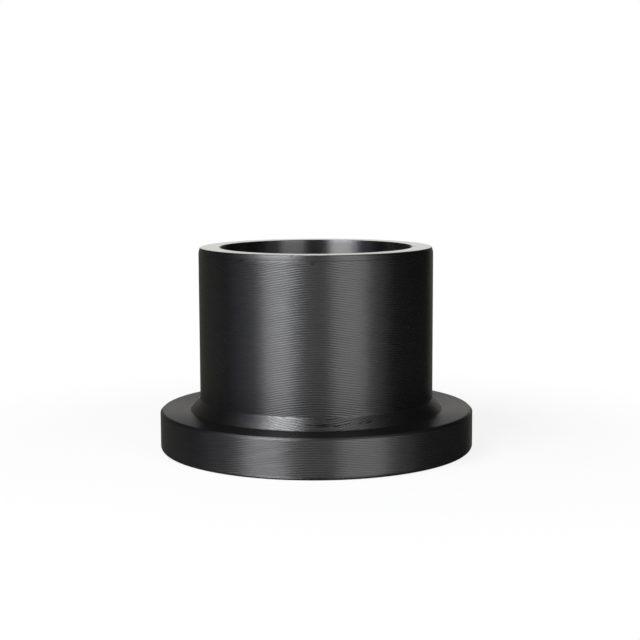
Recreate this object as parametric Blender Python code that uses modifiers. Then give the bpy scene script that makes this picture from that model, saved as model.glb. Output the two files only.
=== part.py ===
"""Lap joint stub end in black polyethylene, turned in one piece.

The fitting stands on its sealing face, with its axis on Z. From the bottom up it is a thick
collar, a cone at the neck and a straight spigot, and one straight bore runs through it all.
A loose backing ring slides over the spigot and bears on the collar's shoulder. The spigot is
fused or clamped to a pipe of the same diameter.

All sizes are in metres.
"""

import math

import bpy

# Spigot: the straight end that takes the pipe
SPIGOT_DIAMETER = 0.1400
SPIGOT_WALL = 0.0127
LEAD_LENGTH = 0.0030  # length along the axis of the slight taper at the spigot's mouth
LEAD_DEPTH = 0.0008  # how far that taper has closed in at the mouth
BORE_EDGE_BREAK = 0.0004

# Collar: the flange that the backing ring pulls against its partner
COLLAR_DIAMETER = 0.1880
COLLAR_THICKNESS = 0.0238
SHOULDER_EDGE_BREAK = 0.0013
SEALING_FACE_EDGE_BREAK = 0.0016

# Neck: the cone between the spigot and the collar's shoulder
NECK_STEP = 0.0058  # how far the foot of the cone stands out from the spigot
NECK_RISE = 0.0067  # height of the cone above the shoulder
NECK_FILLET = 0.0006  # tool nose radius left in the corner at the foot of the cone

# The whole fitting
LENGTH = 0.1210

# Facets
TURN_STEPS = 160
FILLET_STEPS = 3
SHARP_ANGLE = math.radians(12.0)
MERGE_DISTANCE = 0.00001

# Finish
BODY_COLOUR = (0.012, 0.012, 0.0125, 1.0)
BODY_ROUGHNESS = 0.36

SPIGOT_RADIUS = SPIGOT_DIAMETER / 2
BORE_RADIUS = SPIGOT_RADIUS - SPIGOT_WALL
COLLAR_RADIUS = COLLAR_DIAMETER / 2
NECK_RADIUS = SPIGOT_RADIUS + NECK_STEP


def clear_scene():
    """Removes every object that the scene starts with."""
    for old in list(bpy.data.objects):
        bpy.data.objects.remove(old, do_unlink=True)


def spigot_outline():
    """(radius, height) points of the spigot's mouth and outer side, from the top down."""
    return [
        (BORE_RADIUS + BORE_EDGE_BREAK, LENGTH),
        (SPIGOT_RADIUS - LEAD_DEPTH, LENGTH),
        (SPIGOT_RADIUS, LENGTH - LEAD_LENGTH),
        (SPIGOT_RADIUS, COLLAR_THICKNESS + NECK_RISE),
    ]


def neck_fillet():
    """The small hollow arc where the cone runs out into the shoulder, from the cone outwards."""
    cone_angle = math.atan2(NECK_STEP, NECK_RISE)  # of the cone's side from the axis
    turn = math.pi / 2 - cone_angle  # by which the outline turns in the corner
    reach = NECK_FILLET * math.tan(turn / 2)
    centre_radius = NECK_RADIUS + reach
    centre_height = COLLAR_THICKNESS + NECK_FILLET
    angles = [-math.pi / 2 - turn * (1 - i / FILLET_STEPS) for i in range(FILLET_STEPS + 1)]
    return [
        (centre_radius + NECK_FILLET * math.cos(a), centre_height + NECK_FILLET * math.sin(a))
        for a in angles
    ]


def collar_outline():
    """(radius, height) points of the collar's shoulder edge, side and sealing face."""
    return [
        (COLLAR_RADIUS - SHOULDER_EDGE_BREAK, COLLAR_THICKNESS),
        (COLLAR_RADIUS, COLLAR_THICKNESS - SHOULDER_EDGE_BREAK),
        (COLLAR_RADIUS, SEALING_FACE_EDGE_BREAK),
        (COLLAR_RADIUS - SEALING_FACE_EDGE_BREAK, 0.0),
        (BORE_RADIUS + BORE_EDGE_BREAK, 0.0),
    ]


def bore_outline():
    """(radius, height) points of the bore's straight wall, from the sealing face up."""
    return [
        (BORE_RADIUS, BORE_EDGE_BREAK),
        (BORE_RADIUS, LENGTH - BORE_EDGE_BREAK),
    ]


def section_mesh(name, outline):
    """A closed wire of the outline, standing in the XZ plane."""
    mesh = bpy.data.meshes.new(name)
    points = [(radius, 0.0, height) for radius, height in outline]
    edges = [(i, (i + 1) % len(points)) for i in range(len(points))]
    mesh.from_pydata(points, edges, [])
    return mesh


def turn(obj):
    """Sweeps the object's section once round the Z axis and keeps the result as its mesh."""
    screw = obj.modifiers.new("Turn", "SCREW")
    screw.axis = "Z"
    screw.angle = 2 * math.pi
    screw.screw_offset = 0.0
    screw.steps = TURN_STEPS
    screw.render_steps = TURN_STEPS
    screw.use_merge_vertices = True
    screw.merge_threshold = MERGE_DISTANCE
    screw.use_smooth_shade = True
    screw.show_render = screw.show_viewport
    graph = bpy.context.evaluated_depsgraph_get()
    section = obj.data
    obj.data = bpy.data.meshes.new_from_object(obj.evaluated_get(graph))
    obj.data.name = section.name + "_turned"
    obj.modifiers.clear()
    bpy.data.meshes.remove(section)


def shade(mesh):
    """Smooth round the axis, with the chamfers, faces and cone left crisp."""
    mesh.shade_smooth()
    mesh.set_sharp_from_angle(angle=SHARP_ANGLE)


def black_polyethylene():
    """The carbon-black pipe plastic, as the lathe leaves it."""
    material = bpy.data.materials.new("black_polyethylene")
    material.use_nodes = True
    shader = material.node_tree.nodes["Principled BSDF"]
    shader.inputs["Base Color"].default_value = BODY_COLOUR
    shader.inputs["Roughness"].default_value = BODY_ROUGHNESS
    shader.inputs["Metallic"].default_value = 0.0
    return material


def build_stub_end(collection):
    """The whole fitting, one turned solid that stands on its sealing face."""
    outline = spigot_outline() + neck_fillet() + collar_outline() + bore_outline()
    stub_end = bpy.data.objects.new("stub_end", section_mesh("stub_end", outline))
    collection.objects.link(stub_end)
    turn(stub_end)
    shade(stub_end.data)
    stub_end.data.materials.append(black_polyethylene())
    return stub_end


def main():
    """Builds the fitting in a collection of its own."""
    clear_scene()
    collection = bpy.data.collections.new("lap_joint_stub_end")
    bpy.context.scene.collection.children.link(collection)
    build_stub_end(collection)


if __name__ == "__main__":
    main()
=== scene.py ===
"""Looks of the lap joint stub end: its turned surface, the stage, the lights and the camera.

The fitting is one turned piece of black polyethylene. The sizes of its section are read from
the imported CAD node. It is drawn up from a disc, bored through and given its edge breaks, and
then dressed with what the lathe and use leave: feed marks on the walls, faint facing marks on
the flats, a coarser cone at the neck, and a few nicks and rubbed spots.

Lengths are in metres and +Z is up. The front, which the camera sees, is on the side of -Y.
"""

import logging
import math
from dataclasses import dataclass, field
from enum import Enum

import bpy
import numpy as np
from mathutils import Matrix, Vector, noise


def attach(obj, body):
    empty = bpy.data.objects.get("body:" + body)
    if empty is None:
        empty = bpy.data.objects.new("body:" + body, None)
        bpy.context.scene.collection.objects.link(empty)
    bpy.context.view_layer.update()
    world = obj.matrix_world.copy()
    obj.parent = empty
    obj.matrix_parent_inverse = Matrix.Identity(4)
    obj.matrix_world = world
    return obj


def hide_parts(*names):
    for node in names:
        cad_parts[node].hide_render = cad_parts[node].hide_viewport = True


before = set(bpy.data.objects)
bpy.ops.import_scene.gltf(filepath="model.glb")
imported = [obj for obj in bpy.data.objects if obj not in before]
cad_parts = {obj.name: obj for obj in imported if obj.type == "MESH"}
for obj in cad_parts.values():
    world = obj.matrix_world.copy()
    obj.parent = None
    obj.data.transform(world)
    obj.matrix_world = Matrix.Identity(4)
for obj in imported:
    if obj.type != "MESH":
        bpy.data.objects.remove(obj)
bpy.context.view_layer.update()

LOG = logging.getLogger("stub_end_scene")
NODE = "stub_end"
BODY = "root"
BURNISH = "burnish"
PHOTO_SIDE = 640
NODE_SPACING = 180

Colour = tuple[float, float, float]
WHITE = (1.0, 1.0, 1.0)


class Cut(Enum):
    """Which cut of the lathe left a surface. The value is the material's place on the piece."""

    SIDE = 0
    CONE = 1
    SHOULDER = 2
    MOUTH = 3
    BORE = 4
    EDGE = 5


def only(obj: bpy.types.Object) -> None:
    """Makes one object the only selected one, and the active one.

    Args:
        obj: The object.
    """
    bpy.ops.object.select_all(action="DESELECT")
    obj.select_set(True)
    bpy.context.view_layer.objects.active = obj


def edit(mode: str) -> None:
    """Opens the active mesh for editing with nothing selected.

    Args:
        mode: What is picked there, "EDGE" or "FACE".
    """
    bpy.ops.object.mode_set(mode="EDIT")
    bpy.ops.mesh.select_mode(type=mode)
    bpy.ops.mesh.select_all(action="DESELECT")


def select(obj: bpy.types.Object, domain: str, chosen: np.ndarray) -> None:
    """Selects elements of a mesh in edit mode.

    Args:
        obj: The mesh object that is being edited.
        domain: "vertices", "edges" or "polygons".
        chosen: One truth value for each element.
    """
    bpy.ops.object.mode_set(mode="OBJECT")
    for part in ("vertices", "edges", "polygons"):
        elements = getattr(obj.data, part)
        state = chosen if part == domain else np.zeros(len(elements), bool)
        elements.foreach_set("select", state)
    bpy.ops.object.mode_set(mode="EDIT")


def read(
    elements: bpy.types.bpy_prop_collection, name: str, width: int, kind: type = np.float64
) -> np.ndarray:
    """Reads one attribute of all vertices, edges or faces of a mesh.

    Args:
        elements: The mesh's vertices, edges or polygons.
        name: The attribute.
        width: How many numbers it has.
        kind: Their type.

    Returns:
        One row for each element.
    """
    flat = np.empty(len(elements) * width, kind)
    elements.foreach_get(name, flat)
    return flat.reshape(-1, width)


def points_of(mesh: bpy.types.Mesh) -> np.ndarray:
    """The vertices of a mesh, as rows of x, y and z."""
    return read(mesh.vertices, "co", 3)


def ends_of(mesh: bpy.types.Mesh) -> np.ndarray:
    """The vertices at both ends of each edge of a mesh, as rows of two numbers."""
    return read(mesh.edges, "vertices", 2, np.int32)


class NodeBuilder:
    """Adds and links nodes of one node tree, from left to right."""

    def __init__(self, tree: bpy.types.NodeTree) -> None:
        """Starts at the left of an empty tree."""
        self.tree = tree
        self.column = 0

    def add(self, kind: str, inputs: dict | None = None, **settings: object) -> bpy.types.Node:
        """Adds a node.

        Args:
            kind: The node's type name.
            inputs: Socket names or numbers with a value, or with an output socket to link.
            **settings: Attributes of the node.

        Returns:
            The new node.
        """
        node = self.tree.nodes.new(kind)
        node.location = (self.column, 0)
        self.column += NODE_SPACING
        for name, value in settings.items():
            setattr(node, name, value)
        for socket, value in (inputs or {}).items():
            if isinstance(value, bpy.types.NodeSocket):
                self.tree.links.new(value, node.inputs[socket])
            else:
                node.inputs[socket].default_value = value
        return node

    def math(self, operation: str, *values: object) -> bpy.types.NodeSocket:
        """A Math node of numbers or sockets.

        Args:
            operation: Its operation.
            *values: Its inputs, in order.

        Returns:
            Its output.
        """
        node = self.add("ShaderNodeMath", dict(enumerate(values)), operation=operation)
        return node.outputs[0]

    def mix(self, factor: object, low: object, high: object) -> bpy.types.NodeSocket:
        """A number between two others.

        Args:
            factor: 0 for low and 1 for high.
            low: A number or socket.
            high: A number or socket.

        Returns:
            The mixed number.
        """
        node = self.add("ShaderNodeMix", {0: factor, 2: low, 3: high}, data_type="FLOAT")
        return node.outputs[0]

    def noise(self, vector: bpy.types.NodeSocket) -> bpy.types.NodeSocket:
        """Smooth noise from -1 to 1, with one cell to each unit of a vector."""
        node = self.add("ShaderNodeTexNoise", {"Vector": vector, "Scale": 1.0, "Detail": 1.0})
        return self.math("MULTIPLY_ADD", node.outputs["Fac"], 2.0, -1.0)


def new_material(name: str) -> tuple[bpy.types.Material, NodeBuilder]:
    """Starts a material.

    Args:
        name: Its name.

    Returns:
        The material and a builder for its empty tree.
    """
    material = bpy.data.materials.new(name)
    material.use_nodes = True
    material.node_tree.nodes.clear()
    return material, NodeBuilder(material.node_tree)


def new_group(name: str, takes: dict[str, float | None], gives: tuple[str, ...]) -> NodeBuilder:
    """Starts a shader node group.

    Args:
        name: Its name.
        takes: Its inputs with their values before they are set. A vector has the value None.
        gives: Its outputs, all numbers.

    Returns:
        A builder for its empty tree.
    """
    tree = bpy.data.node_groups.new(name, "ShaderNodeTree")
    for label, value in takes.items():
        kind = "NodeSocketVector" if value is None else "NodeSocketFloat"
        socket = tree.interface.new_socket(label, in_out="INPUT", socket_type=kind)
        if value is not None:
            socket.default_value = value
    for label in gives:
        tree.interface.new_socket(label, in_out="OUTPUT", socket_type="NodeSocketFloat")
    return NodeBuilder(tree)


@dataclass
class LatheGroups:
    """The node groups that every turned finish shares.

    The front angle is a share of a turn, and sways is how often the marks rise and fall in one
    turn. Each height of a streak is in passes of the tool, and each reach is in dashes round the
    turn. The grooves are deeper in some patches than in others, by the patch swing round the
    patch mean. Grooves and patches each have their own share in how rubbed the surface is.
    """

    reference_radius: float = 0.080
    front_angle: float = -0.25
    sways: float = 4.0
    stray_height: float = 5.0
    stray_reach: float = 1.0
    patch_height: float = 3.0
    patch_reach: float = 1.5
    patch_mean: float = 0.75
    patch_swing: float = 0.5
    drag_height: float = 1.1
    drag_reach: float = 0.8
    groove_polish: float = 0.6
    patch_polish: float = 0.4
    coordinates: bpy.types.NodeTree = field(init=False)
    marks: bpy.types.NodeTree = field(init=False)

    def __post_init__(self) -> None:
        """Builds the groups."""
        self.coordinates = self._coordinates()
        self.marks = self._marks()

    def _coordinates(self) -> bpy.types.NodeTree:
        """The group that turns Object coordinates into the lathe's own.

        Returns:
            The group. Height and Radius are in metres. Turn is the angle round the axis, from
            -0.5 to 0.5 of a turn. Round X and Round Y are the same angle as a point on a circle
            of the reference radius, which has no seam.
        """
        make = new_group(
            "lathe_coordinates",
            {"Position": None},
            ("Height", "Radius", "Turn", "Round X", "Round Y"),
        )
        given = make.add("NodeGroupInput")
        x, y, z = make.add("ShaderNodeSeparateXYZ", {0: given.outputs["Position"]}).outputs
        squares = make.math("MULTIPLY_ADD", x, x, make.math("MULTIPLY", y, y))
        radius = make.math("SQRT", squares)
        share = make.math("DIVIDE", self.reference_radius, radius)
        make.add(
            "NodeGroupOutput",
            {
                "Height": z,
                "Radius": radius,
                "Turn": make.math("DIVIDE", make.math("ARCTAN2", y, x), 2 * math.pi),
                "Round X": make.math("MULTIPLY", x, share),
                "Round Y": make.math("MULTIPLY", y, share),
            },
        )
        return make.tree

    def _marks(self) -> bpy.types.NodeTree:
        """The marks that a tool leaves as the work turns past it.

        Returns:
            The group. Its Height and its Polish run from about -1 to 1, and Polish is high where
            the tool rubbed.
        """
        make = new_group(
            "turning_marks",
            {
                "Along": 0.0,
                "Turn": 0.0,
                "Round X": 0.0,
                "Round Y": 0.0,
                "Pitch": 0.0013,
                "Sway": 0.0,
                "Stray": 0.4,
                "Dash": 0.009,
                "Drag": 0.5,
            },
            ("Height", "Polish"),
        )
        given = make.add("NodeGroupInput").outputs
        from_front = make.math("SUBTRACT", given["Turn"], self.front_angle)
        wave = make.math("COSINE", make.math("MULTIPLY", from_front, 2 * math.pi * self.sways))
        swayed = make.math("SUBTRACT", given["Along"], make.math("MULTIPLY", wave, given["Sway"]))
        passes = make.math("DIVIDE", swayed, given["Pitch"])
        stray = self._streaks(make, given, passes, self.stray_height, self.stray_reach)
        strayed = make.math("MULTIPLY_ADD", stray, given["Stray"], passes)
        groove = make.math("SINE", make.math("MULTIPLY", strayed, 2 * math.pi))
        patch = self._streaks(make, given, passes, self.patch_height, self.patch_reach)
        share = make.math("MULTIPLY_ADD", patch, self.patch_swing, self.patch_mean)
        drag = self._streaks(make, given, passes, self.drag_height, self.drag_reach)
        dragged = make.math("MULTIPLY", drag, given["Drag"])
        height = make.math("MULTIPLY_ADD", groove, share, dragged)
        rubbed = make.math("MULTIPLY", patch, self.patch_polish)
        polish = make.math("MULTIPLY_ADD", groove, self.groove_polish, rubbed)
        make.add("NodeGroupOutput", {"Height": height, "Polish": polish})
        return make.tree

    def _streaks(
        self,
        make: NodeBuilder,
        given: bpy.types.NodeOutputs,
        passes: bpy.types.NodeSocket,
        height: float,
        reach: float,
    ) -> bpy.types.NodeSocket:
        """Noise whose cells lie along the tool's path.

        Args:
            make: The group's builder.
            given: The group's inputs.
            passes: How many passes of the tool lie below the point.
            height: A cell's height in passes.
            reach: A cell's length round the turn, in dashes.

        Returns:
            The noise, from about -1 to 1.
        """
        length = make.math("MULTIPLY", given["Dash"], reach)
        place = make.add(
            "ShaderNodeCombineXYZ",
            {
                0: make.math("DIVIDE", given["Round X"], length),
                1: make.math("DIVIDE", given["Round Y"], length),
                2: make.math("DIVIDE", passes, height),
            },
        )
        return make.noise(place.outputs[0])


# The plastic's colour, on turned walls and on faced flats
TURNED = (0.0022, 0.0022, 0.0023)
FACED = (0.0045, 0.0045, 0.0046)


@dataclass(frozen=True)
class TurnedFinish:
    """Black polyethylene as one cut of the lathe leaves it.

    The marks follow one another along Height on a wall and along Radius on a flat. In metres,
    pitch is the tool's feed, depth the height of its marks, sway how far they rise and fall
    round the turn, and dash the length of a streak. Stray is a share of the pitch, and drag of
    the depth. Sheen turn is how far the highlights' stretch is turned from the way round the
    axis, as a share of a turn, so a quarter stretches them across the marks.
    """

    name: str
    along: str
    pitch: float
    depth: float
    sway: float
    stray: float
    dash: float
    drag: float
    roughness: float
    roughness_swing: float
    anisotropy: float
    specular: float = 1.0
    ior: float = 1.5
    colour: Colour = TURNED
    burnished_roughness: float = 0.14
    sheen_turn: float = 0.25

    def material(self, groups: LatheGroups) -> bpy.types.Material:
        """Builds the material.

        Args:
            groups: The shared node groups.

        Returns:
            The material.
        """
        material, make = new_material(self.name)
        position = {"Position": make.add("ShaderNodeTexCoord").outputs["Object"]}
        lathe = make.add("ShaderNodeGroup", position, node_tree=groups.coordinates).outputs
        marks = make.add(
            "ShaderNodeGroup",
            {
                "Along": lathe[self.along],
                "Turn": lathe["Turn"],
                "Round X": lathe["Round X"],
                "Round Y": lathe["Round Y"],
                "Pitch": self.pitch,
                "Sway": self.sway,
                "Stray": self.stray,
                "Dash": self.dash,
                "Drag": self.drag,
            },
            node_tree=groups.marks,
        ).outputs
        bump = make.add(
            "ShaderNodeBump", {"Height": marks["Height"], "Strength": 1.0, "Distance": self.depth}
        )
        swing = make.math("MULTIPLY", marks["Polish"], self.roughness_swing)
        turned = make.math("SUBTRACT", self.roughness, swing)
        burnish = make.add("ShaderNodeAttribute", attribute_name=BURNISH).outputs["Fac"]
        tangent = make.add("ShaderNodeTangent", direction_type="RADIAL", axis="Z")
        shader = make.add(
            "ShaderNodeBsdfPrincipled",
            {
                "Base Color": (*self.colour, 1.0),
                "Roughness": make.mix(burnish, turned, self.burnished_roughness),
                "Specular IOR Level": self.specular,
                "IOR": self.ior,
                "Anisotropic": self.anisotropy,
                "Anisotropic Rotation": self.sheen_turn,
                "Normal": bump.outputs["Normal"],
                "Tangent": tangent.outputs[0],
            },
        )
        make.add("ShaderNodeOutputMaterial", {"Surface": shader.outputs[0]})
        return material


FINISHES = {
    Cut.SIDE: TurnedFinish(
        name="turned_side",
        along="Height",
        pitch=0.00133,
        depth=62e-6,
        sway=0.0034,
        stray=0.38,
        dash=0.013,
        drag=0.7,
        roughness=0.38,
        roughness_swing=0.10,
        anisotropy=0.7,
    ),
    Cut.CONE: TurnedFinish(
        name="turned_cone",
        along="Height",
        pitch=0.00120,
        depth=24e-6,
        sway=-0.0036,
        stray=0.80,
        dash=0.009,
        drag=0.9,
        roughness=0.38,
        roughness_swing=0.12,
        anisotropy=0.7,
    ),
    Cut.SHOULDER: TurnedFinish(
        name="faced_shoulder",
        along="Radius",
        pitch=0.0011,
        depth=8e-6,
        sway=0.0,
        stray=0.4,
        dash=0.02,
        drag=0.5,
        roughness=0.38,
        roughness_swing=0.04,
        anisotropy=0.7,
        specular=0.17,
        colour=FACED,
    ),
    Cut.MOUTH: TurnedFinish(
        name="faced_mouth",
        along="Radius",
        pitch=0.0008,
        depth=1e-6,
        sway=0.0,
        stray=0.40,
        dash=0.020,
        drag=0.5,
        roughness=0.11,
        roughness_swing=0.02,
        anisotropy=0.3,
        colour=FACED,
    ),
    Cut.BORE: TurnedFinish(
        name="bored_wall",
        along="Height",
        pitch=0.00133,
        depth=8e-6,
        sway=0.0,
        stray=0.4,
        dash=0.012,
        drag=0.5,
        roughness=0.37,
        roughness_swing=0.05,
        anisotropy=1.0,
        ior=1.7,
    ),
    Cut.EDGE: TurnedFinish(
        name="cut_edge",
        along="Height",
        pitch=0.0009,
        depth=8e-6,
        sway=0.0,
        stray=0.30,
        dash=0.016,
        drag=0.6,
        roughness=0.38,
        roughness_swing=0.05,
        anisotropy=0.6,
        specular=0.85,
    ),
}


@dataclass(frozen=True)
class Section:
    """The turned section's own sizes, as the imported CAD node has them. All are in metres."""

    length: float
    bore_radius: float
    bore_break: float
    mouth_radius: float
    lead_foot: float
    spigot_radius: float
    neck_top: float
    neck_radius: float
    neck_fillet: float
    collar_radius: float
    collar_thickness: float
    shoulder_break: float
    sealing_break: float

    @classmethod
    def of_node(cls, mesh: bpy.types.Mesh, near: float = 2e-6) -> "Section":
        """Measures the section where it crosses +X.

        Args:
            mesh: The CAD node's mesh.
            near: How far from a plane a point may lie to be on it.

        Returns:
            The section.
        """
        points = points_of(mesh)
        seam = points[(points[:, 0] > 0) & (np.abs(points[:, 1]) < near)][:, (0, 2)]
        radius, height = seam[:, 0], seam[:, 1]
        length, collar_radius, bore_radius = height.max(), radius.max(), radius.min()
        mouth = radius[height > length - near]
        rim = height[radius > collar_radius - near]
        shoulder = height[(radius < collar_radius - near) & (height > rim.max() + near)].min()
        flat = radius[np.abs(height - shoulder) < near]
        outside = seam[(height > shoulder + near) & (radius > mouth.max() - near)]
        wall = outside[outside[:, 0] > mouth.max() + near]
        spigot_radius = wall[wall[:, 1] > (length + shoulder) / 2][:, 0].max()
        straight = wall[np.abs(wall[:, 0] - spigot_radius) < near][:, 1]
        below_neck_top = wall[wall[:, 1] < straight.min() - near]
        cone_foot = below_neck_top[below_neck_top[:, 1].argmax()]
        slope = (cone_foot[0] - spigot_radius) / (straight.min() - cone_foot[1])
        turned = math.pi / 2 - math.atan(slope)
        neck_radius = spigot_radius + slope * (straight.min() - shoulder)
        return cls(
            length=length,
            bore_radius=bore_radius,
            bore_break=mouth.min() - bore_radius,
            mouth_radius=mouth.max(),
            lead_foot=straight.max(),
            spigot_radius=spigot_radius,
            neck_top=straight.min(),
            neck_radius=neck_radius,
            neck_fillet=(flat.min() - neck_radius) / math.tan(turned / 2),
            collar_radius=collar_radius,
            collar_thickness=shoulder,
            shoulder_break=shoulder - rim.max(),
            sealing_break=rim.min(),
        )

    @property
    def cone_slope(self) -> float:
        """How far the neck's cone widens for each metre that it drops."""
        return (self.neck_radius - self.spigot_radius) / (self.neck_top - self.collar_thickness)

    @property
    def fillet_reach(self) -> float:
        """How far the fillet at the cone's foot runs out from its corner."""
        return self.neck_fillet * math.tan((math.pi / 2 - math.atan(self.cone_slope)) / 2)


@dataclass(frozen=True)
class Nick:
    """A small knock that pressed the turned surface in.

    Azimuth is in degrees round the axis from the front, positive to the right. Radius and height
    place it on the section, and inward is the way there that it was pressed, as the steps in
    radius and in height. Slant is how far it climbs for each metre to the right, burnish how
    smooth it was rubbed, up to 1, unevenness how far its depth strays, as a share, and grain how
    many times it strays in a metre.
    """

    azimuth: float
    radius: float
    height: float
    length: float
    width: float
    depth: float
    inward: tuple[float, float] = (-1.0, 0.0)
    slant: float = 0.0
    burnish: float = 1.0
    grain: float = 500.0
    unevenness: float = 0.4

    def reach(self, points: np.ndarray) -> np.ndarray:
        """How far points lie from its middle.

        Args:
            points: Rows of x, y and z.

        Returns:
            The distances, where 1 is the nick's rim.
        """
        radius = np.hypot(points[:, 0], points[:, 1])
        turned = np.arctan2(points[:, 0], -points[:, 1]) - math.radians(self.azimuth)
        along = (np.mod(turned + math.pi, 2 * math.pi) - math.pi) * self.radius
        up = points[:, 2] - self.height - along * self.slant
        across = np.hypot(radius - self.radius, up)
        return np.hypot(along / (self.length / 2), across / (self.width / 2))

    def press(self, points: np.ndarray) -> np.ndarray:
        """Moves points into the nick.

        Args:
            points: Rows of x, y and z.

        Returns:
            The moved points.
        """
        share = np.clip(1 - self.reach(points), 0, 1)
        moved = points.copy()
        for number in np.flatnonzero(share > 0):
            x, y, z = points[number]
            uneven = 1.0 + self.unevenness * noise.noise(Vector((x, y, z)) * self.grain)
            step = self.depth * share[number] * uneven
            radius = math.hypot(x, y)
            moved[number] += np.array((x / radius, y / radius, 0.0)) * step * self.inward[0]
            moved[number, 2] += step * self.inward[1]
        return moved


@dataclass
class StubEnd:
    """The whole fitting: collar, neck, spigot and bore, turned in one piece.

    Round a nick the faces are divided once for each patch spread, which is how much wider than
    the nick that patch is. A nick is rubbed smooth as far as the rub core and not at all past
    the rub rim, where 1 is the nick's own rim. The flat and slanted normals sort the faces by
    how far they point up or down, and the bore normal by how far they point away from the axis.
    The values that start with into are the ways that nicks were pressed.
    """

    section: Section
    turn_steps: int = 256
    longest_step: float = 0.0020
    score_width: float = 0.0006
    score_depth: float = 0.00022
    mouth_round: float = 0.00040
    mouth_segments: int = 3
    foot_round: float = 0.00090
    foot_segments: int = 4
    rub_depth: float = 0.00005
    rub_core: float = 0.625
    rub_rim: float = 1.25
    patch_spreads: tuple[float, ...] = (0.0022, 0.0014, 0.0008)
    finest_face: float = 0.00025
    bevel_angle: float = math.radians(25)
    edge_round: float = 0.00010
    edge_segments: int = 2
    fillet_segments: int = 4
    near: float = 5e-6
    smooth_angle: float = math.radians(35)
    flat_normal: float = 0.95
    slanted_normal: float = 0.15
    bore_normal: float = -0.5
    into_cone: tuple[float, float] = (-0.75, -0.66)
    into_mouth_edge: tuple[float, float] = (-0.7, -0.7)
    into_bore_edge: tuple[float, float] = (0.6, -0.8)

    def build(self) -> bpy.types.Object:
        """Models the fitting.

        Returns:
            The finished piece, with one material place for each cut.
        """
        piece = self._collar_blank()
        self._raise_neck_and_spigot(piece)
        self._bore_through(piece)
        self._break_edges(piece)
        self._cut_rings(piece)
        self._sort_faces(piece)
        nicks = self._nicks()
        for nick in nicks:
            self._refine(piece, nick)
        self._knock(piece, nicks)
        self._finish(piece, nicks)
        return piece

    def _collar_blank(self) -> bpy.types.Object:
        """The collar as a plain disc.

        Returns:
            The object that becomes the fitting.
        """
        size = self.section
        bpy.ops.object.select_all(action="DESELECT")
        bpy.ops.mesh.primitive_cylinder_add(
            vertices=self.turn_steps,
            radius=size.collar_radius,
            depth=size.collar_thickness,
            end_fill_type="NGON",
            location=(0.0, 0.0, size.collar_thickness / 2),
        )
        piece = bpy.context.object
        piece.name = piece.data.name = "turned_stub_end"
        bpy.ops.object.transform_apply(location=True, rotation=True, scale=True)
        return piece

    def _raise_neck_and_spigot(self, piece: bpy.types.Object) -> None:
        """Insets the disc's top and draws the neck cone, the spigot and its lead up from it.

        Args:
            piece: The fitting, still a disc.
        """
        size = self.section
        edit("FACE")
        self._pick_cap(piece, size.collar_thickness)
        bpy.ops.mesh.inset(thickness=size.collar_radius - size.neck_radius, use_even_offset=False)
        radius = size.neck_radius
        height = size.collar_thickness
        # Radius and height of each ring, from the neck up
        stages = (
            (size.spigot_radius, size.neck_top),
            (size.spigot_radius, size.lead_foot - self.score_width),
            (size.spigot_radius - self.score_depth, size.lead_foot - self.score_width / 2),
            (size.spigot_radius, size.lead_foot),
            (size.mouth_radius, size.length),
        )
        for next_radius, next_height in stages:
            bpy.ops.mesh.extrude_region_move(
                TRANSFORM_OT_translate={"value": (0.0, 0.0, next_height - height)}
            )
            share = next_radius / radius
            bpy.ops.transform.resize(value=(share, share, 1.0))
            radius, height = next_radius, next_height
        bpy.ops.object.mode_set(mode="OBJECT")

    def _bore_through(self, piece: bpy.types.Object) -> None:
        """Opens both ends to the bore and joins the openings by its wall.

        Args:
            piece: The fitting, still solid.
        """
        size = self.section
        edit("FACE")
        for height, outer in ((size.length, size.mouth_radius), (0.0, size.collar_radius)):
            self._pick_cap(piece, height)
            bpy.ops.mesh.inset(thickness=outer - size.bore_radius, use_even_offset=False)
            bpy.ops.mesh.delete(type="FACE")
        self._pick_rings(piece, [(size.bore_radius, size.length), (size.bore_radius, 0.0)])
        bpy.ops.mesh.bridge_edge_loops()
        bpy.ops.mesh.select_all(action="SELECT")
        bpy.ops.mesh.normals_make_consistent(inside=False)
        bpy.ops.object.mode_set(mode="OBJECT")

    def _break_edges(self, piece: bpy.types.Object) -> None:
        """Chamfers the corners, fillets the neck's foot and takes off every razor edge.

        Args:
            piece: The fitting, with crisp corners.
        """
        size = self.section
        neck_foot = (size.neck_radius, size.collar_thickness)
        cuts = (
            (size.shoulder_break, 1, [(size.collar_radius, size.collar_thickness)]),
            (size.sealing_break, 1, [(size.collar_radius, 0.0)]),
            (size.bore_break, 1, [(size.bore_radius, size.length), (size.bore_radius, 0.0)]),
            (self.mouth_round, self.mouth_segments, [(size.mouth_radius, size.length)]),
            (size.fillet_reach, self.fillet_segments, [neck_foot]),
        )
        edit("EDGE")
        for offset, segments, rings in cuts:
            self._pick_rings(piece, rings)
            bpy.ops.mesh.bevel(offset=offset, segments=segments, affect="EDGES")
        chamfer = [
            (size.collar_radius, size.sealing_break),
            (size.collar_radius - size.sealing_break, 0.0),
        ]
        self._pick_rings(piece, chamfer)
        bpy.ops.mesh.bevel(offset=self.foot_round, segments=self.foot_segments, affect="EDGES")
        bpy.ops.mesh.select_all(action="DESELECT")
        bpy.ops.mesh.edges_select_sharp(sharpness=self.bevel_angle)
        bpy.ops.mesh.bevel(
            offset=self.edge_round, segments=self.edge_segments, affect="EDGES", clamp_overlap=True
        )
        bpy.ops.object.mode_set(mode="OBJECT")

    def _cut_rings(self, piece: bpy.types.Object) -> None:
        """Divides the long walls and faces, so that rings follow one another closely.

        Args:
            piece: The fitting.
        """
        edit("EDGE")
        steps = self._section_steps(piece)
        while steps.max() > self.longest_step:
            select(piece, "edges", steps > self.longest_step)
            bpy.ops.mesh.subdivide(number_cuts=1)
            steps = self._section_steps(piece)

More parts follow.
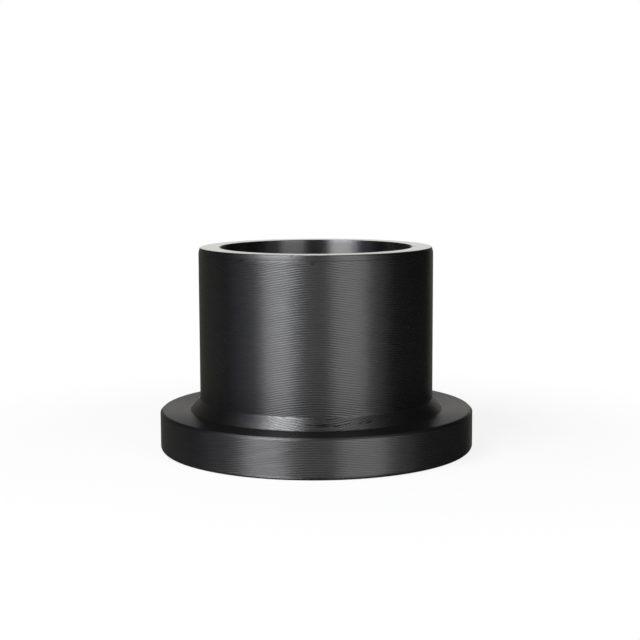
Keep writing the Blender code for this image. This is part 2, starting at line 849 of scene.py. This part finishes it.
    @staticmethod
    def _section_steps(piece: bpy.types.Object) -> np.ndarray:
        """Leaves edit mode and measures the edges along the section.

        Args:
            piece: The fitting, in edit mode.

        Returns:
            The length of each edge without its turn round the axis.
        """
        bpy.ops.object.mode_set(mode="OBJECT")
        points = points_of(piece.data)
        section = np.column_stack((np.hypot(points[:, 0], points[:, 1]), points[:, 2]))
        first, second = ends_of(piece.data).T
        return np.linalg.norm(section[first] - section[second], axis=1)

    def _pick_cap(self, piece: bpy.types.Object, height: float) -> None:
        """Selects the round face that closes an end at a height.

        Args:
            piece: The fitting, in edit mode.
            height: The face's height.
        """
        bpy.ops.object.mode_set(mode="OBJECT")
        chosen = np.array([
            len(face.vertices) == self.turn_steps and abs(face.center.z - height) < self.near
            for face in piece.data.polygons
        ])
        select(piece, "polygons", chosen)

    def _pick_rings(self, piece: bpy.types.Object, rings: list[tuple[float, float]]) -> None:
        """Selects rings of edges by their radius and height.

        Args:
            piece: The fitting, in edit mode.
            rings: The radius and height of each ring.
        """
        bpy.ops.object.mode_set(mode="OBJECT")
        points = points_of(piece.data)
        radius = np.hypot(points[:, 0], points[:, 1])
        on_ring = np.zeros(len(points), int)
        for number, (ring_radius, ring_height) in enumerate(rings, start=1):
            same_radius = np.abs(radius - ring_radius) < self.near
            same_height = np.abs(points[:, 2] - ring_height) < self.near
            on_ring[same_radius & same_height] = number
        first, second = on_ring[ends_of(piece.data)].T
        select(piece, "edges", (first > 0) & (first == second))

    def _sort_faces(self, piece: bpy.types.Object) -> None:
        """Gives each face the material place of the cut that made it.

        Args:
            piece: The fitting.
        """
        size = self.section
        mesh = piece.data
        normals = read(mesh.polygons, "normal", 3)
        centres = read(mesh.polygons, "center", 3)
        radius = np.linalg.norm(centres[:, :2], axis=1)
        height = centres[:, 2]
        outward = (normals[:, :2] * centres[:, :2]).sum(1) / radius
        flat = np.abs(normals[:, 2]) > self.flat_normal
        slanted = (np.abs(normals[:, 2]) > self.slanted_normal) & ~flat
        places = np.full(len(mesh.polygons), Cut.SIDE.value)
        places[slanted] = Cut.EDGE.value
        places[slanted & (radius < size.neck_radius) & (height < size.neck_top)] = Cut.CONE.value
        places[flat] = Cut.SHOULDER.value
        places[flat & (height > size.lead_foot)] = Cut.MOUTH.value
        places[outward < self.bore_normal] = Cut.BORE.value
        mesh.polygons.foreach_set("material_index", places)
        mesh.update()

    def _nicks(self) -> tuple[Nick, ...]:
        """The knocks and rubs that the fitting took.

        Returns:
            The nicks below the lead and at the mouth, then the rubbed spots on the cone.
        """
        size = self.section
        wall, lead = size.spigot_radius, size.lead_foot
        bore_edge = (size.bore_radius, size.length)
        mouth_edge = (size.mouth_radius, size.length)
        return (
            # Azimuth, radius, height, length, width, depth and the way in
            Nick(-1.5, wall, lead - 0.0014, 0.0042, 0.0014, 0.00034),
            Nick(-37.3, wall, lead - 0.0010, 0.0050, 0.0010, 0.00018),
            Nick(1.4, *bore_edge, 0.0024, 0.0018, 0.00060, self.into_bore_edge),
            Nick(-10.8, *mouth_edge, 0.0022, 0.0014, 0.00035, self.into_mouth_edge),
            Nick(-4.0, *mouth_edge, 0.0014, 0.0010, 0.00025, self.into_mouth_edge),
            Nick(84.0, *bore_edge, 0.0060, 0.0044, 0.00110, self.into_bore_edge),
            # Azimuth, height above the shoulder, length, width, burnish and slant
            self._rubbed_spot(-2.5, 0.0031, 0.0070, 0.0018, 0.26),
            self._rubbed_spot(3.0, 0.0030, 0.0110, 0.0024, 0.45),
            self._rubbed_spot(8.4, 0.0029, 0.0050, 0.0026, 0.80),
            self._rubbed_spot(6.6, 0.0060, 0.0066, 0.0016, 0.50),
            self._rubbed_spot(12.3, 0.0035, 0.0026, 0.0014, 0.60),
            self._rubbed_spot(14.2, 0.0036, 0.0018, 0.0013, 0.70),
            self._rubbed_spot(20.0, 0.0034, 0.0046, 0.0012, 0.50, slant=0.25),
            self._rubbed_spot(24.0, 0.0037, 0.0052, 0.0012, 0.60, slant=0.20),
        )

    def _rubbed_spot(
        self,
        azimuth: float,
        height: float,
        length: float,
        width: float,
        burnish: float,
        slant: float = 0.0,
    ) -> Nick:
        """A rubbed spot on the neck's cone.

        Args:
            azimuth: Its place round the axis, as a nick's.
            height: Its height above the shoulder.
            length: Its length round the turn.
            width: Its width up the cone.
            burnish: How smooth it was rubbed, up to 1.
            slant: How far it climbs for each metre to the right.

        Returns:
            The spot, as a very shallow nick.
        """
        size = self.section
        radius = size.neck_radius - height * size.cone_slope
        place = (azimuth, radius, size.collar_thickness + height)
        return Nick(*place, length, width, self.rub_depth, self.into_cone, slant, burnish)

    def _refine(self, piece: bpy.types.Object, nick: Nick) -> None:
        """Divides the faces round a nick, finer towards its middle.

        Args:
            piece: The fitting.
            nick: The nick that is to be pressed there.
        """
        edit("FACE")
        for spread in self.patch_spreads:
            bpy.ops.object.mode_set(mode="OBJECT")
            faces = piece.data.polygons
            near = nick.reach(read(faces, "center", 3)) < 1 + spread / nick.width
            coarse = read(faces, "area", 1)[:, 0] > self.finest_face**2
            select(piece, "polygons", near & coarse)
            bpy.ops.mesh.subdivide(number_cuts=1)
        bpy.ops.object.mode_set(mode="OBJECT")

    def _knock(self, piece: bpy.types.Object, nicks: tuple[Nick, ...]) -> None:
        """Rounds the finer patches off and presses the nicks into them.

        Args:
            piece: The fitting.
            nicks: Its nicks.
        """
        points = self._rounded(points_of(piece.data))
        for nick in nicks:
            points = nick.press(points)
        piece.data.vertices.foreach_set("co", points.ravel())
        piece.data.update()

    def _rounded(self, points: np.ndarray) -> np.ndarray:
        """Moves points that lie on the flat of a facet out to the circle through its corners.

        Args:
            points: Rows of x, y and z.

        Returns:
            The moved points. Those at the corners stay where they are.
        """
        step = 2 * math.pi / self.turn_steps
        from_middle = np.mod(np.arctan2(points[:, 1], points[:, 0]), step) - step / 2
        share = np.cos(from_middle) / math.cos(step / 2)
        return points * np.column_stack((share, share, np.ones(len(points))))

    def _finish(self, piece: bpy.types.Object, nicks: tuple[Nick, ...]) -> None:
        """Shades the fitting smooth, marks where it was rubbed and dresses each cut.

        Args:
            piece: The fitting.
            nicks: Its nicks.
        """
        only(piece)
        bpy.ops.object.shade_smooth_by_angle(angle=self.smooth_angle)
        points = points_of(piece.data)
        burnish = np.zeros(len(points), np.float32)
        for nick in nicks:
            rubbed = np.interp(nick.reach(points), (self.rub_core, self.rub_rim), (1.0, 0.0))
            burnish = np.maximum(burnish, (rubbed * nick.burnish).astype(np.float32))
        layer = piece.data.attributes.new(BURNISH, "FLOAT", "POINT")
        layer.data.foreach_set("value", burnish)
        groups = LatheGroups()
        for cut in Cut:
            piece.data.materials.append(FINISHES[cut].material(groups))


# Lamp colours
COOL = (0.96, 0.965, 1.0)
BLUISH = (0.80, 0.82, 1.0)
WARM = (1.0, 0.96, 0.84)


@dataclass(frozen=True)
class Softbox:
    """A soft upright lamp panel that faces the fitting's axis.

    Azimuth is in degrees round the axis from the camera's side, positive to the right.
    Brightness is the panel's own, where 1 is white.
    """

    name: str
    azimuth: float
    distance: float
    width: float
    bottom: float
    top: float
    brightness: float
    colour: Colour = WHITE

    def build(self) -> None:
        """Stands the lamp in its place."""
        height = self.top - self.bottom
        data = bpy.data.lights.new(self.name, "AREA")
        data.shape = "RECTANGLE"
        data.size = self.width
        data.size_y = height
        data.energy = self.brightness * math.pi * self.width * height
        data.color = self.colour
        lamp = bpy.data.objects.new(self.name, data)
        bpy.context.scene.collection.objects.link(lamp)
        turned = math.radians(self.azimuth)
        out = Vector((math.sin(turned), -math.cos(turned), 0.0))
        place = out * self.distance + Vector((0.0, 0.0, self.bottom + height / 2))
        facing = out.to_track_quat("Z", "Y").to_matrix().to_4x4()
        lamp.matrix_world = Matrix.Translation(place) @ facing
        lamp.visible_camera = False


@dataclass
class Studio:
    """The pale floor, the white backdrop, the dim room and the lamps.

    To the camera the floor glows white, a little less near the fitting, so that the shadow shows
    there. In the fitting's surface the floor is a darker one with a dull sheen, as in the photo.
    The backdrop shows to the camera and in that surface, and lights nothing.
    """

    floor_side: float = 12.0
    floor_colour: float = 0.80
    floor_mirrored_colour: float = 0.12
    floor_mirror: float = 0.8
    floor_mirrored_roughness: float = 0.12
    floor_white_near: float = 0.86
    floor_white_far: float = 1.0
    floor_near: float = 0.09
    floor_far: float = 0.34
    backdrop_distance: float = 1.6
    backdrop_width: float = 0.75
    backdrop_height: float = 0.36
    backdrop_mirrored: Colour = (1.0, 0.99, 0.95)
    room_level: float = 0.02
    # Each lamp's name, azimuth, distance, width, bottom, top, brightness and colour
    softboxes: tuple[Softbox, ...] = (
        Softbox("left_low_softbox", -34.0, 0.50, 0.23, 0.0, 0.30, 3.1, COOL),
        Softbox("left_high_softbox", -39.0, 0.50, 0.38, 0.30, 0.60, 6.9, COOL),
        Softbox("left_top_softbox", -42.0, 0.50, 0.34, 0.60, 0.95, 18.0, COOL),
        Softbox("left_low_wing", -66.0, 0.50, 0.34, 0.0, 0.25, 0.14, BLUISH),
        Softbox("left_high_wing", -66.0, 0.50, 0.34, 0.25, 0.75, 0.62, BLUISH),
        Softbox("left_side_fill", -122.0, 1.2, 0.90, 0.0, 0.50, 0.085, WARM),
        Softbox("left_rear_fill", -157.0, 1.2, 0.50, 0.0, 0.40, 0.16, WARM),
        Softbox("front_fill", -2.0, 0.50, 0.30, 0.0, 0.30, 0.50),
        Softbox("right_low_softbox", 32.0, 0.50, 0.30, 0.0, 0.30, 2.05),
        Softbox("right_high_softbox", 32.0, 0.50, 0.30, 0.30, 0.75, 2.9),
        Softbox("right_wing", 58.0, 0.50, 0.18, 0.0, 0.60, 0.34),
        Softbox("right_rear_fill", 158.0, 1.2, 0.50, 0.0, 0.40, 0.24, WARM),
        Softbox("rear_softbox", 180.0, 1.2, 0.20, 0.55, 1.10, 3.0, WARM),
        Softbox("high_rear_softbox", 180.0, 0.90, 0.90, 1.30, 2.10, 1.2),
    )

    def build(self) -> list[bpy.types.Object]:
        """Sets up the stage.

        Returns:
            The stage's meshes.
        """
        stage = [self._floor(), self._backdrop()]
        self._room()
        for softbox in self.softboxes:
            softbox.build()
        return stage

    def _floor(self) -> bpy.types.Object:
        """A plain pale floor that the fitting stands on.

        Returns:
            The floor.
        """
        bpy.ops.object.select_all(action="DESELECT")
        bpy.ops.mesh.primitive_plane_add(size=self.floor_side, location=(0.0, 0.0, 0.0))
        floor = bpy.context.object
        floor.name = "floor"
        material, make = new_material("pale_floor")
        rays = make.add("ShaderNodeLightPath").outputs
        where = make.add("ShaderNodeTexCoord")
        reach = make.add("ShaderNodeVectorMath", {0: where.outputs["Object"]}, operation="LENGTH")
        white = make.add(
            "ShaderNodeMapRange",
            {
                "Value": reach.outputs["Value"],
                "From Min": self.floor_near,
                "From Max": self.floor_far,
                "To Min": self.floor_white_near,
                "To Max": self.floor_white_far,
            },
            interpolation_type="SMOOTHERSTEP",
        )
        pale = (self.floor_colour,) * 3 + (1.0,)
        dim = (self.floor_mirrored_colour,) * 3 + (1.0,)
        diffuse = make.add("ShaderNodeBsdfDiffuse", {"Color": pale})
        strength = make.math("MULTIPLY", rays["Is Camera Ray"], white.outputs["Result"])
        glow = make.add("ShaderNodeEmission", {"Strength": 1.0})
        seen = make.add(
            "ShaderNodeMixShader", {0: strength, 1: diffuse.outputs[0], 2: glow.outputs[0]}
        )
        bounce = make.add("ShaderNodeBsdfDiffuse", {"Color": dim})
        sheen = make.add("ShaderNodeBsdfAnisotropic", {"Roughness": self.floor_mirrored_roughness})
        mirrored = make.add(
            "ShaderNodeMixShader", {0: self.floor_mirror, 1: bounce.outputs[0], 2: sheen.outputs[0]}
        )
        reflected = make.math("MAXIMUM", rays["Is Glossy Ray"], rays["Is Transmission Ray"])
        both = make.add(
            "ShaderNodeMixShader", {0: reflected, 1: seen.outputs[0], 2: mirrored.outputs[0]}
        )
        make.add("ShaderNodeOutputMaterial", {"Surface": both.outputs[0]})
        floor.data.materials.append(material)
        return floor

    def _backdrop(self) -> bpy.types.Object:
        """A white board that stands behind the fitting.

        Returns:
            The backdrop.
        """
        bpy.ops.object.select_all(action="DESELECT")
        bpy.ops.mesh.primitive_plane_add(size=1.0, location=(0.0, self.backdrop_distance, 0.0))
        backdrop = bpy.context.object
        backdrop.name = "backdrop"
        backdrop.scale = (self.backdrop_width, self.backdrop_height, 1.0)
        backdrop.rotation_euler = (math.pi / 2, 0.0, 0.0)
        backdrop.location.z = self.backdrop_height / 2
        bpy.ops.object.transform_apply(location=True, rotation=True, scale=True)
        material, make = new_material("white_backdrop")
        rays = make.add("ShaderNodeLightPath").outputs
        mirrored = make.math("MAXIMUM", rays["Is Glossy Ray"], rays["Is Transmission Ray"])
        seen = make.math("MAXIMUM", rays["Is Camera Ray"], mirrored)
        shades = [make.mix(rays["Is Camera Ray"], shade, 1.0) for shade in self.backdrop_mirrored]
        colour = make.add("ShaderNodeCombineColor", dict(enumerate(shades)))
        glow = make.add("ShaderNodeEmission", {"Color": colour.outputs[0], "Strength": seen})
        make.add("ShaderNodeOutputMaterial", {"Surface": glow.outputs[0]})
        backdrop.data.materials.append(material)
        return backdrop

    def _room(self) -> None:
        """White where the camera looks past the stage, and a dim room for all other rays."""
        world = bpy.data.worlds.new("studio_room")
        bpy.context.scene.world = world
        world.use_nodes = True
        world.node_tree.nodes.clear()
        make = NodeBuilder(world.node_tree)
        rays = make.add("ShaderNodeLightPath").outputs
        strength = make.mix(rays["Is Camera Ray"], self.room_level, 1.0)
        sky = make.add("ShaderNodeBackground", {"Color": (*WHITE, 1.0), "Strength": strength})
        make.add("ShaderNodeOutputWorld", {"Surface": sky.outputs[0]})


@dataclass(frozen=True)
class PhotoCamera:
    """The camera that took the photograph, from a fit to the outlines. Sensor is in millimetres."""

    distance: float = 0.85013
    height: float = 0.18275
    pitch: float = math.radians(7.1165)
    yaw: float = math.radians(0.1582)
    roll: float = math.radians(0.2201)
    focal_pixels: float = 1424.03
    sensor: float = 36.0
    clip_start: float = 0.01

    def build(self) -> None:
        """Places the camera and makes it the scene's."""
        data = bpy.data.cameras.new("photo_camera")
        data.sensor_width = self.sensor
        data.lens = self.focal_pixels * self.sensor / PHOTO_SIDE
        data.clip_start = self.clip_start
        camera = bpy.data.objects.new("photo_camera", data)
        bpy.context.scene.collection.objects.link(camera)
        turned = (
            Matrix.Rotation(-self.yaw, 4, "Z")
            @ Matrix.Rotation(math.pi / 2 - self.pitch, 4, "X")
            @ Matrix.Rotation(-self.roll, 4, "Z")
        )
        camera.matrix_world = Matrix.Translation((0.0, -self.distance, self.height)) @ turned
        bpy.context.scene.camera = camera


def main() -> None:
    """Builds the fitting, its stage and its camera."""
    logging.basicConfig(level=logging.INFO, format="%(name)s: %(message)s")
    piece = StubEnd(Section.of_node(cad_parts[NODE].data)).build()
    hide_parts(NODE)
    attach(piece, BODY)
    LOG.info("%s: %d faces", piece.name, len(piece.data.polygons))
    for thing in Studio().build():
        LOG.info("stage: %s", thing.name)
    PhotoCamera().build()
    bpy.context.scene.view_settings.view_transform = "Standard"


if __name__ == "__main__":
    main()
